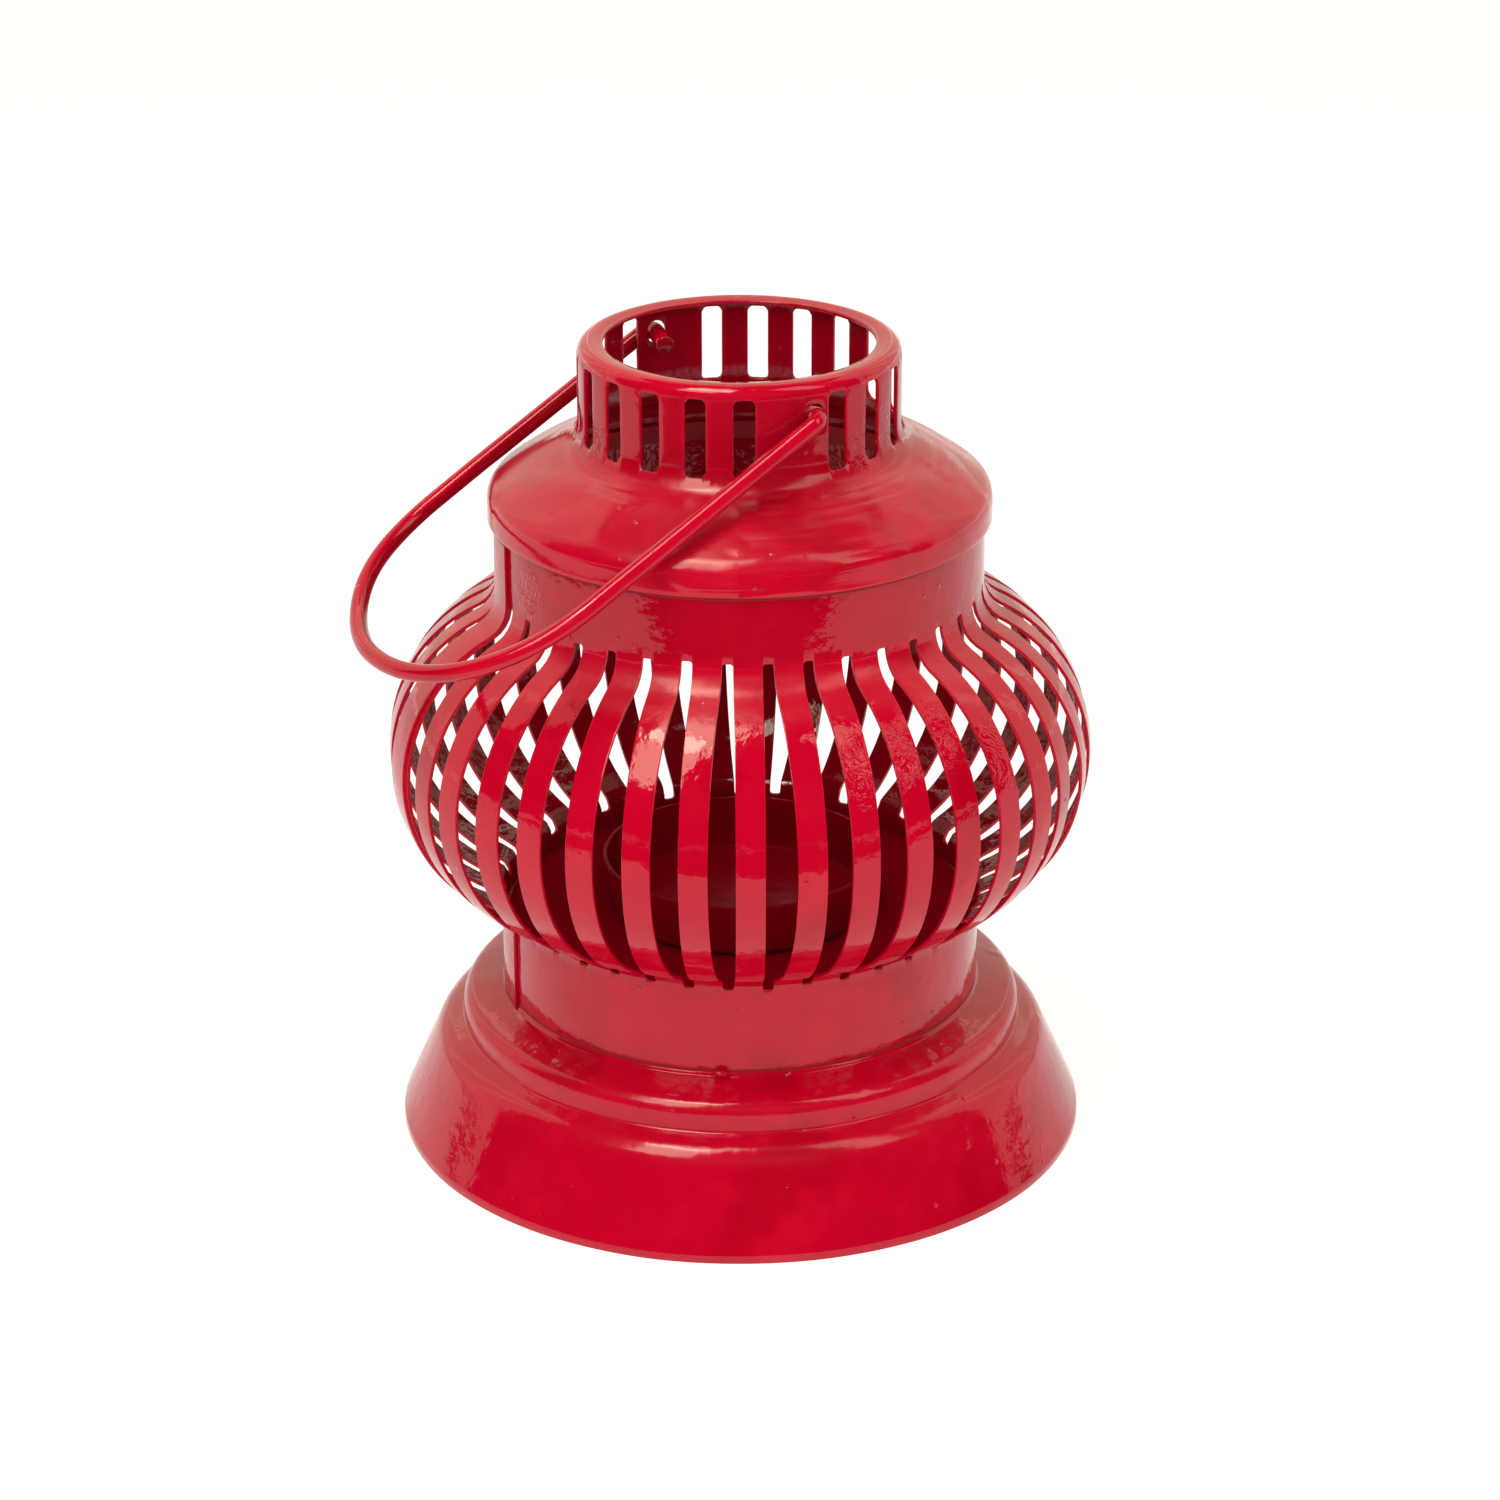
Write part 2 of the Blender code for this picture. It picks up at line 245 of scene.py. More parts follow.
BAND_FADE = 0.001
SHADE_LINE_FADE = 0.0001
WIRE_END_SHARE = 0.86
WIRE_END_ROUND = 0.14
WARM_WHITE = (1.0, 0.96, 0.78)
PAINT_TOUCH = 0.00003
FILLET_RISE = 0.0004
# Painted shade: thin dark lines on the cage just above the base's ledge and just under the cap's lip.
CAGE_SHADE_LINES = (
    (LEDGE_HEIGHT + FILLET_RISE, LEDGE_HEIGHT + 2 * FILLET_RISE),
    (LIP_BOTTOM - 0.0006, LIP_BOTTOM + LIP_HEIGHT),
)


CAGE_WRINKLES = (
    ((0.0190, -0.0430, 0.0735), 0.0085),
    ((0.0262, -0.0380, 0.0750), 0.0080),
    ((0.0350, -0.0330, 0.0720), 0.0060),
    ((-0.0300, -0.0200, 0.0910), 0.0050),
)
CAP_WRINKLES = (
    ((0.0180, -0.0160, 0.1120), 0.0050),
    ((0.0200, -0.0120, 0.1130), 0.0050),
    ((-0.0200, -0.0130, 0.1110), 0.0040),
)


def on_circle(radius, turn, height):
    """The point at this radius, azimuth and height."""
    return Vector((radius * math.sin(turn), -radius * math.cos(turn), height))


def rounded(corners, steps):
    """An open outline through corners (x, y, fillet radius), each fillet drawn as an arc."""
    points = []
    for index, (x, y, radius) in enumerate(corners):
        here = Vector((x, y))
        if radius == 0:
            points.append(here)
            continue
        back = (Vector(corners[index - 1][:2]) - here).normalized()
        ahead = (Vector(corners[index + 1][:2]) - here).normalized()
        half = back.angle(ahead) / 2
        middle = here + (back + ahead).normalized() * radius / math.sin(half)
        start = here + back * radius / math.tan(half) - middle
        sweep = start.angle_signed(here + ahead * radius / math.tan(half) - middle)
        for step in range(steps + 1):
            points.append(middle + Matrix.Rotation(-sweep * step / steps, 2) @ start)
    return points


def evenly(points, spacing):
    """The outline with its long straight runs divided, so that a wobble can follow them."""
    filled = [points[0]]
    for first, second in zip(points, points[1:]):
        parts = max(1, round((second - first).length / spacing))
        for part in range(1, parts + 1):
            filled.append(first.lerp(second, part / parts))
    return filled


class Outline:
    """A polyline that can be read at any distance along it."""

    def __init__(self, points):
        self.points = [Vector(point) for point in points]
        self.marks = [0.0]
        for first, second in zip(self.points, self.points[1:]):
            self.marks.append(self.marks[-1] + (second - first).length)

    @property
    def length(self):
        return self.marks[-1]

    def at(self, distance):
        """The point this far along the outline."""
        distance = min(max(distance, 0.0), self.length)
        index = 1
        while index < len(self.marks) - 1 and self.marks[index] < distance:
            index += 1
        run = self.marks[index] - self.marks[index - 1]
        share = (distance - self.marks[index - 1]) / run if run else 0.0
        return self.points[index - 1].lerp(self.points[index], share)

    def where_height(self, height, falling):
        """Distance along the outline of the last place that passes this height going down, or up."""
        found = 0.0
        for index in range(1, len(self.points)):
            first, second = self.points[index - 1], self.points[index]
            low, high = sorted((first.y, second.y))
            if low <= height <= high and high > low and (first.y > second.y) == falling:
                share = abs(height - first.y) / (high - low)
                found = self.marks[index - 1] + share * (self.marks[index] - self.marks[index - 1])
        return found


# ---------------------------------------------------------------- mesh helpers


def finish_piece(name, mesh_data, body, node_names, material):
    """Link a finished mesh, hang it on its body and let it stand for its frame nodes."""
    mesh = bpy.data.meshes.new(name)
    mesh_data.to_mesh(mesh)
    mesh_data.free()
    for face in mesh.polygons:
        face.use_smooth = True
    piece = bpy.data.objects.new(name, mesh)
    bpy.context.scene.collection.objects.link(piece)
    piece.data.materials.append(material)
    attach(piece, body)
    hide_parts(*node_names)
    return piece


def thicken(piece, thickness):
    """Give a single skin its wall, inwards."""
    wall = piece.modifiers.new("wall", "SOLIDIFY")
    wall.thickness = thickness
    wall.offset = -1
    wall.use_even_offset = True


def round_edges(piece, width, segments, least_angle):
    """Round the cut edges as a coat of paint does."""
    edge = piece.modifiers.new("paint_round", "BEVEL")
    edge.width = width
    edge.segments = segments
    edge.limit_method = "ANGLE"
    edge.angle_limit = math.radians(least_angle)
    edge.profile = 0.5
    edge.harden_normals = False


def spin_outline(points, steps):
    """Turn an outline (radius, height) all the way round Z."""
    shell = bmesh.new()
    vertices = [shell.verts.new((0, -point.x, point.y)) for point in points]
    for first, second in zip(vertices, vertices[1:]):
        shell.edges.new((first, second))
    bmesh.ops.spin(
        shell,
        geom=shell.verts[:] + shell.edges[:],
        cent=(0, 0, 0),
        axis=(0, 0, 1),
        angle=2 * math.pi,
        steps=steps,
        use_merge=True,
    )
    bmesh.ops.remove_doubles(shell, verts=shell.verts, dist=0.00001)
    bmesh.ops.recalc_face_normals(shell, faces=shell.faces)
    return shell


def face_outwards(shell, probe):
    """Turn the skin over if the face nearest the probe point looks away from it."""
    nearest = min(shell.faces, key=lambda face: (face.calc_center_median() - probe).length)
    if nearest.normal.dot(probe - nearest.calc_center_median()) < 0:
        bmesh.ops.reverse_faces(shell, faces=shell.faces)


def waver(turn, seed, lobes):
    """A slow uneven ripple round the axis, between -1 and 1."""
    maker = random.Random(seed)
    total = 0.0
    for lobe in lobes:
        total += math.sin(lobe * turn + maker.uniform(0, 2 * math.pi)) / len(lobes)
    return total


# ---------------------------------------------------------------- enamel


class Wiring:
    """Short calls for wiring a material's nodes."""

    def __init__(self, material):
        self.tree = material.node_tree
        self.nodes = material.node_tree.nodes

    def add(self, kind, **sockets):
        node = self.nodes.new(kind)
        for name, value in sockets.items():
            self.put(node.inputs[name.replace("_", " ")], value)
        return node

    def put(self, socket, value):
        if isinstance(value, bpy.types.NodeSocket):
            self.tree.links.new(value, socket)
        else:
            socket.default_value = value

    def maths(self, action, first, second=0.0, third=0.0):
        node = self.nodes.new("ShaderNodeMath")
        node.operation = action
        for socket, value in zip(node.inputs, (first, second, third)):
            self.put(socket, value)
        return node.outputs[0]

    def height(self, place):
        parts = self.nodes.new("ShaderNodeSeparateXYZ")
        self.put(parts.inputs[0], place)
        return parts.outputs[2]

    def grain(self, place, scale, detail=2.0, roughness=0.5, distortion=0.0):
        node = self.nodes.new("ShaderNodeTexNoise")
        self.put(node.inputs["Vector"], place)
        node.inputs["Scale"].default_value = scale
        node.inputs["Detail"].default_value = detail
        node.inputs["Roughness"].default_value = roughness
        node.inputs["Distortion"].default_value = distortion
        return node.outputs["Fac"]

    def specks(self, place, scale, size):
        """Small round spots, 1 in the middle of a spot and 0 outside it; a few in each hundred cells."""
        cells = self.nodes.new("ShaderNodeTexVoronoi")
        self.put(cells.inputs["Vector"], place)
        cells.inputs["Scale"].default_value = scale
        apart = self.span(cells.outputs["Distance"], 0.0, size, 1.0, 0.0)
        pick = self.nodes.new("ShaderNodeSeparateColor")
        self.put(pick.inputs[0], cells.outputs["Color"])
        chosen = self.maths("GREATER_THAN", pick.outputs[0], 0.86)
        return self.maths("MULTIPLY", apart, chosen)

    def span(self, value, low, high, to_low, to_high):
        node = self.nodes.new("ShaderNodeMapRange")
        node.interpolation_type = "SMOOTHSTEP"
        for name, number in (
            ("From Min", low),
            ("From Max", high),
            ("To Min", to_low),
            ("To Max", to_high),
        ):
            node.inputs[name].default_value = number
        self.put(node.inputs["Value"], value)
        return node.outputs["Result"]

    def mix(self, share, first, second):
        node = self.nodes.new("ShaderNodeMix")
        node.data_type = "RGBA"
        self.put(node.inputs[0], share)
        self.put(node.inputs[6], first)
        self.put(node.inputs[7], second)
        return node.outputs[2]

    def bump(self, height, distance, strength=1.0, under=None):
        node = self.nodes.new("ShaderNodeBump")
        node.inputs["Strength"].default_value = strength
        node.inputs["Distance"].default_value = distance
        self.put(node.inputs["Height"], height)
        if under:
            self.put(node.inputs["Normal"], under)
        return node.outputs["Normal"]


def height_band(wiring, height, low, high, share):
    """A value that is share between two heights and fades to nothing past both."""
    rise = wiring.span(height, low - BAND_FADE, low + BAND_FADE, 0.0, share)
    fall = wiring.span(height, high - BAND_FADE, high + BAND_FADE, 1.0, 0.0)
    return wiring.maths("MULTIPLY", rise, fall)


def enamel(
    name, peel=1.0, rings=0.0, dust=1.0, roughness=0.10, has_edges=False, deep=0.0, gloss=0.37,
    inside_shade=0.9, wrinkled=(), shade_lines=(), shaded=(), satin=(),
):
    """Sprayed gloss enamel on sheet iron: orange peel, dust under the gloss, thin edges, spun rings, and
    painted shade inside, in height bands and in lines at the joints.
    """
    colours = paint_colours()
    material = bpy.data.materials.new(name)
    material.use_nodes = True
    wiring = Wiring(material)
    shader = wiring.nodes["Principled BSDF"]
    place = wiring.add("ShaderNodeTexCoord").outputs["Object"]

    cloud = wiring.grain(place, 38.0, 4.0, 0.6)
    mottle = wiring.grain(place, 310.0, 3.0, 0.55)
    both = wiring.maths("ADD", wiring.maths("MULTIPLY", cloud, 0.6), wiring.maths("MULTIPLY", mottle, 0.4))
    thin = wiring.span(both, 0.42, 0.66, 0.0, 1.0)
    colour = wiring.mix(thin, (*colours.red, 1), (*colours.thin_red, 1))
    pooled = wiring.span(wiring.grain(place, 64.0, 2.0, 0.5), 0.56, 0.70, 0.0, 0.75)
    colour = wiring.mix(pooled, colour, (*colours.deep_red, 1))
    # Painted shade: pieces deep inside the lantern take this share of a darker red.
    if deep:
        colour = wiring.mix(deep, colour, (*colours.shade_red, 1))
    chips = wiring.specks(place, 260.0, 0.10)
    colour = wiring.mix(wiring.maths("MULTIPLY", chips, 0.6), colour, (*colours.bare, 1))

    # Painted shade: faces that look inwards are darkened towards a darker red.
    inward = faces_inward(wiring, place)
    colour = wiring.mix(wiring.maths("MULTIPLY", inward, inside_shade), colour, (*colours.shade_red, 1))

    shine = wiring.span(wiring.grain(place, 120.0, 4.0, 0.65), 0.35, 0.75, roughness * 0.8, roughness * 1.6)
    height = wiring.height(place)
    # Painted shade: the enamel between two heights is darkened towards a darker red.
    for low, high, share in shaded:
        inside = height_band(wiring, height, low, high, share)
        colour = wiring.mix(inside, colour, (*colours.shade_red, 1))
    for low, high, dulling in satin:
        shine = wiring.maths("ADD", shine, height_band(wiring, height, low, high, dulling))
    # Painted shade: thin dark lines where the cage meets the base and where it runs under the lip.
    for low, high in shade_lines:
        above = wiring.span(height, low - SHADE_LINE_FADE, low, 0.0, 1.0)
        below = wiring.span(height, high, high + SHADE_LINE_FADE, 1.0, 0.0)
        inside = wiring.maths("MULTIPLY", above, below)
        colour = wiring.mix(wiring.maths("MULTIPLY", inside, 0.85), colour, (*colours.shade_red, 1))
        shine = wiring.maths("ADD", shine, wiring.maths("MULTIPLY", inside, 0.5))
    if has_edges:
        edge = wiring.add("ShaderNodeAttribute")
        edge.attribute_name = "cut_edge"
        worn = wiring.maths("MULTIPLY", edge.outputs["Fac"], wiring.span(mottle, 0.35, 0.6, 0.35, 1.0))
        colour = wiring.mix(wiring.maths("MULTIPLY", worn, 0.55), colour, (*colours.thin_red, 1))
        shine = wiring.maths("ADD", shine, wiring.maths("MULTIPLY", worn, 0.06))
    wiring.put(shader.inputs["Base Color"], colour)
    wiring.put(shader.inputs["Roughness"], shine)

    swell = wiring.grain(place, 95.0, 2.0, 0.45, 0.3)
    normal = wiring.bump(swell, 0.00035 * peel, 0.55)
    skin = wiring.grain(place, 620.0, 2.5, 0.5)
    normal = wiring.bump(skin, 0.00007 * peel, 0.8, normal)
    if rings:
        normal = ring_marks(wiring, place, rings, normal)
    grit = wiring.specks(place, 420.0, 0.20)
    normal = wiring.bump(grit, 0.00012 * dust, 0.9, normal)
    sag = wiring.specks(place, 150.0, 0.30)
    normal = wiring.bump(sag, 0.00016 * dust, 0.7, normal)
    if wrinkled:
        normal = wrinkles(wiring, place, wrinkled, normal)
    wiring.put(shader.inputs["Normal"], normal)

    shader.inputs["Metallic"].default_value = 0.0
    shader.inputs["IOR"].default_value = 1.5
    shader.inputs["Specular IOR Level"].default_value = gloss
    return material


def faces_inward(wiring, place):
    """1 on faces that look towards the lantern's axis, which the enamel darkens as painted shade."""
    flat = wiring.nodes.new("ShaderNodeVectorMath")
    flat.operation = "MULTIPLY"
    wiring.put(flat.inputs[0], place)
    flat.inputs[1].default_value = (1, 1, 0)
    outward = wiring.nodes.new("ShaderNodeVectorMath")
    outward.operation = "NORMALIZE"
    wiring.put(outward.inputs[0], flat.outputs[0])
    facing = wiring.nodes.new("ShaderNodeVectorMath")
    facing.operation = "DOT_PRODUCT"
    wiring.put(facing.inputs[0], outward.outputs[0])
    wiring.put(facing.inputs[1], wiring.nodes.new("ShaderNodeNewGeometry").outputs["Normal"])
    return wiring.span(facing.outputs["Value"], -0.35, -0.10, 1.0, 0.0)


def wrinkles(wiring, place, spots, under):
    """Places where the enamel dried wrinkled, each a point and how far the wrinkles reach."""
    worms = wiring.grain(place, 430.0, 2.0, 0.55, 1.6)
    ridged = wiring.maths("ABSOLUTE", wiring.maths("SUBTRACT", worms, 0.5))
    normal = under
    for point, reach in spots:
        apart = wiring.nodes.new("ShaderNodeVectorMath")
        apart.operation = "DISTANCE"
        wiring.put(apart.inputs[0], place)
        apart.inputs[1].default_value = point
        near = wiring.span(apart.outputs["Value"], reach * 0.5, reach, 1.0, 0.0)
        normal = wiring.bump(wiring.maths("MULTIPLY", ridged, near), 0.00050, 0.8, normal)
    return normal


def ring_marks(wiring, place, strength, under):
    """The fine rings that a spinning tool leaves, fading in and out round the piece."""
    parts = wiring.nodes.new("ShaderNodeSeparateXYZ")
    wiring.put(parts.inputs[0], place)
    across = wiring.maths("MULTIPLY", parts.outputs[0], parts.outputs[0])
    deep = wiring.maths("MULTIPLY", parts.outputs[1], parts.outputs[1])
    squares = wiring.maths("ADD", across, deep)
    radius = wiring.maths("SQRT", squares)
    turn = wiring.maths("ARCTAN2", parts.outputs[0], parts.outputs[1])
    joined = wiring.nodes.new("ShaderNodeCombineXYZ")
    wiring.put(joined.inputs[0], radius)
    wiring.put(joined.inputs[1], parts.outputs[2])
    wiring.put(joined.inputs[2], wiring.maths("MULTIPLY", turn, 0.0011))
    rings = wiring.grain(joined.outputs[0], 1100.0, 3.0, 0.6)
    broad = wiring.grain(joined.outputs[0], 420.0, 1.0, 0.5)
    below_neck = wiring.span(parts.outputs[2], NECK_FOOT - 0.0020, NECK_FOOT, 1.0, 0.0)
    fade = wiring.span(wiring.grain(place, 48.0, 2.0, 0.5), 0.46, 0.60, 0.0, 1.0)
    fade = wiring.maths("MULTIPLY", fade, below_neck)
    normal = wiring.bump(wiring.maths("MULTIPLY", rings, fade), 0.00003 * strength, 1.0, under)
    return wiring.bump(wiring.maths("MULTIPLY", broad, fade), 0.00018 * strength, 1.0, normal)


# ---------------------------------------------------------------- pieces


class LANTERN_OT_base_skirt(bpy.types.Operator):
    """Spin the stepped, flared base the cage stands in"""

    bl_idname = "lantern.base_skirt"
    bl_label = "Base Skirt"
    bl_options = {"REGISTER", "UNDO"}

    def execute(self, context):
        sizes = sheet_sizes()
        hole = sizes.band_radius + TOUCH_GAP
        ridge = hole + LEDGE_WIDTH
        ridge_height = LEDGE_HEIGHT - LEDGE_FALL
        groove_height = ridge_height - STEP_HEIGHT
        corners = [
            (sizes.band_radius + PAINT_TOUCH, LEDGE_HEIGHT + FILLET_RISE, 0),
            (hole, LEDGE_HEIGHT - LEDGE_FALL * 0.1, FILLET_RISE),
            (ridge, ridge_height, 0.0025),
            (ridge, groove_height, 0.0006),
            (ridge + SHOULDER_WIDTH, groove_height - SHOULDER_FALL, 0.0045),
            (BASE_RADIUS, RIM_HEIGHT, 0.0015),
            (BASE_RADIUS, 0, 0),
        ]
        outline = evenly(rounded(corners, 8), 0.0016)
        shell = spin_outline(outline, 216)
        for vertex in shell.verts:
            turn = math.atan2(vertex.co.x, -vertex.co.y)
            flare = max(0.0, min(1.0, (groove_height - vertex.co.z) / groove_height))
            wobble = 0.00012 * waver(turn, 3, (2, 3, 5, 9)) * min(1.0, vertex.co.z / RIM_HEIGHT)
            ripple = 0.00005 * waver(turn + 40 * vertex.co.z, 5, (7, 11, 16))
            outward = Vector((vertex.co.x, vertex.co.y, 0)).normalized()
            keep = 1.0 if vertex.co.z < LEDGE_HEIGHT - 0.0008 else 0.0
            vertex.co += outward * (wobble + ripple) * flare * keep
        face_outwards(shell, Vector((0, -0.2, 0.05)))
        dull_ledge = (groove_height - 0.0035, ridge_height + 0.0005, 0.07)
        material = enamel("base_enamel", peel=0.8, rings=0.25, roughness=0.07, satin=(dull_ledge,))
        piece = finish_piece("spun_base", shell, "lantern_body", ["base_skirt"], material)
        thicken(piece, sizes.spun_sheet)
        round_edges(piece, sizes.edge_round, 2, 50)
        return {"FINISHED"}


class StripShape:
    """The rolled strip: where each column and row of the flat sheet ends up."""

    ROW_STEP = 0.0012
    ACROSS = (-1.0, -0.93, -0.5, 0.0, 0.5, 0.93, 1.0)
    IN_SLOT = (-0.93, -0.75, -0.5, 0.5, 0.75, 0.93)

    def __init__(self, sizes):
        self.sizes = sizes
        self.pitch = sizes.slot_step
        self.slat_width = self.pitch * sizes.band_radius - sizes.slot_width
        self.end_round = 0.00045
        lower = self.half_path(sizes.slot_bottom, -1)
        upper = self.half_path(sizes.slot_top, 1)
        foot = Vector((sizes.band_radius, node_foot("cage")))
        head = Vector((sizes.band_radius, node_top("cage")))
        self.outline = Outline([foot, *lower, *upper[-2::-1], head])
        self.low_end = sizes.slot_bottom - foot.y
        self.high_end = self.outline.length - (head.y - sizes.slot_top)
        self.rows = self.make_rows()
        self.columns = self.make_columns()
        maker = random.Random(11)
        self.slat_push = [maker.uniform(-1, 1) for _ in range(sizes.slot_count + 1)]
        self.slat_twist = [maker.uniform(-1, 1) for _ in range(sizes.slot_count + 1)]
        self.slat_sway = [maker.uniform(-1, 1) for _ in range(sizes.slot_count + 1)]
        self.end_shift = [(maker.uniform(-1, 1), maker.uniform(-1, 1)) for _ in range(sizes.slot_count)]

    def half_path(self, end_height, side):
        """Radius and height along half a slat, from the slot's end to the middle of the bulge."""
        sizes = self.sizes
        run = abs(end_height - sizes.bulge_height)
        inset = sizes.band_radius - (sizes.bulge_radius - sizes.bulge_arc)
        bend = (run**2 - sizes.bulge_arc**2 + inset**2) / (2 * (sizes.bulge_arc - inset))
        centre = Vector((sizes.bulge_radius - sizes.bulge_arc, sizes.bulge_height))
        pivot = Vector((sizes.band_radius + bend, end_height))
        lean = math.atan2(abs(pivot.y - centre.y), pivot.x - centre.x)
        points = []
        for step in range(12):
            turn = lean * step / 12
            points.append(pivot + Vector((-bend * math.cos(turn), -side * bend * math.sin(turn))))
        for step in range(25):
            turn = lean * (1 - step / 24)
            reach = sizes.bulge_arc
            points.append(centre + Vector((reach * math.cos(turn), side * reach * math.sin(turn))))
        return points

    def make_rows(self):
        """Distance of each row along the strip, with a row on each slot end."""
        rows = [0.0]
        stops = [
            (self.low_end - 0.0012, 0.0024),
            (self.low_end + self.end_round, 1.0),
            (self.high_end - self.end_round, self.ROW_STEP),
            (self.high_end + 0.0012, 1.0),
            (self.outline.length, 0.0024),
        ]
        for stop, spacing in stops:
            start = rows[-1]
            parts = max(1, round((stop - start) / spacing))
            rows += [start + (stop - start) * part / parts for part in range(1, parts + 1)]
        self.first_open = min(range(len(rows)), key=lambda index: abs(rows[index] - stops[1][0]))
        self.last_open = min(range(len(rows)), key=lambda index: abs(rows[index] - stops[2][0]))
        return rows

    def make_columns(self):
        """Each column as (slat or slot number, share across it, kind)."""
        sizes = self.sizes
        self.seam_slat = math.floor((sizes.seam_turn - sizes.slot_turn) / self.pitch)
        last_middle = sizes.slot_turn + (self.seam_slat + sizes.slot_count + 0.5) * self.pitch
        half = self.slat_width / 2 / sizes.band_radius
        lap_share = (sizes.seam_turn + 2 * math.pi - last_middle) / half
        columns = []
        for number in range(sizes.slot_count):
            columns += [(number, share, "slat") for share in self.ACROSS]
            columns += [(number, share, "slot") for share in self.IN_SLOT]
        ends = (-1.0, -0.93, 0.0, lap_share / 2, lap_share - 0.07, lap_share)
        columns += [(sizes.slot_count, share, "slat") for share in ends]
        return columns

    def in_slot(self, column, row):
        """True where the punch took the sheet away."""
        kinds = (self.columns[column][2], self.columns[column + 1][2])
        return "slot" in kinds and self.first_open <= row < self.last_open

    def place(self, column, row):
        """Where this point of the flat sheet ends up."""
        sizes = self.sizes
        number, share, kind = self.columns[column]
        distance = self.rows[row]
        if kind == "slot" and row in (self.first_open, self.last_open):
            past = abs(share) * sizes.slot_width / 2 - (sizes.slot_width / 2 - self.end_round)
            dip = self.end_round
            if past > 0:
                dip = math.sqrt(self.end_round**2 - past**2)
            low_shift, high_shift = self.end_shift[number]
            distance += -dip - 0.00025 * low_shift if row == self.first_open else dip + 0.00020 * high_shift
        radius, height = self.outline.at(distance)
        slat = (self.seam_slat + number + 0.5) * self.pitch + sizes.slot_turn
        half_slat = self.slat_width / 2 / radius
        if kind == "slat":
            turn = slat + share * half_slat
        else:
            turn = slat + self.pitch / 2 + share * (self.pitch / 2 - half_slat)
        swing = self.swing(distance)
        index = number % sizes.slot_count
        radius += 0.00030 * self.slat_push[index] * swing
        if kind == "slat":
            radius += 0.00012 * self.slat_twist[index] * share * swing
            turn += 0.00022 / radius * self.slat_sway[index] * swing
        radius += 0.00006 * waver(turn + 25 * height, 21, (3, 5, 8, 13)) * (1 - swing)
        radius += self.lap_lift(number, share, kind)
        return on_circle(radius, turn, height)

    def swing(self, distance):
        """How free the sheet is to move: 0 on the bands and 1 in the middle of a slat."""
        along = (distance - self.low_end) / (self.high_end - self.low_end)
        if not 0 < along < 1:
            return 0.0
        return math.sin(math.pi * along) ** 2

    def lap_lift(self, number, share, kind):
        """The outer end of the strip climbs onto the inner one."""
        count = self.sizes.slot_count
        lift = self.sizes.cage_sheet + 0.00004
        if number == count:
            return lift
        if number == count - 1 and kind == "slot":
            return lift * (share + 1) / 2
        return 0.0


class LANTERN_OT_cage(bpy.types.Operator):
    """Roll the slotted strip into the bulged cage, with its lap seam"""

    bl_idname = "lantern.cage"
    bl_label = "Cage"
    bl_options = {"REGISTER", "UNDO"}

    def execute(self, context):
        sizes = sheet_sizes()
        shape = StripShape(sizes)
        across, along = len(shape.columns) - 1, len(shape.rows) - 1
        strip = bmesh.new()
        bmesh.ops.create_grid(strip, x_segments=across, y_segments=along, size=1)
        punched = []
        for face in strip.faces:
            middle = face.calc_center_median()
            column = math.floor((middle.x + 1) / 2 * across)
            row = math.floor((middle.y + 1) / 2 * along)
            if shape.in_slot(column, row):
                punched.append(face)
        bmesh.ops.delete(strip, geom=punched, context="FACES")
        cut_edge = strip.verts.layers.float.new("cut_edge")
        for vertex in strip.verts:
            column = round((vertex.co.x + 1) / 2 * across)
            row = round((vertex.co.y + 1) / 2 * along)
            vertex[cut_edge] = 1.0 if vertex.is_boundary else 0.0
            vertex.co = shape.place(column, row)
        bmesh.ops.recalc_face_normals(strip, faces=strip.faces)
        face_outwards(strip, Vector((0, -0.2, 0.09)))
        # Painted shade on the plain band above the slots; the cage also gets thin painted shade lines at
        # the ledge and under the lip.
        shaded_band = (sizes.slot_top, NECK_TOP, 0.30)
        dull_shoulder = (sizes.slot_top - 0.0065, sizes.slot_top - 0.0015, 0.20)
        material = enamel(
            "cage_enamel", roughness=0.06, has_edges=True, wrinkled=CAGE_WRINKLES, shade_lines=CAGE_SHADE_LINES,
            shaded=(shaded_band,), satin=(dull_shoulder,),
        )
        piece = finish_piece("slotted_cage", strip, "lantern_body", ["cage"], material)
        thicken(piece, sizes.cage_sheet)
        round_edges(piece, sizes.edge_round, 2, 50)
        return {"FINISHED"}


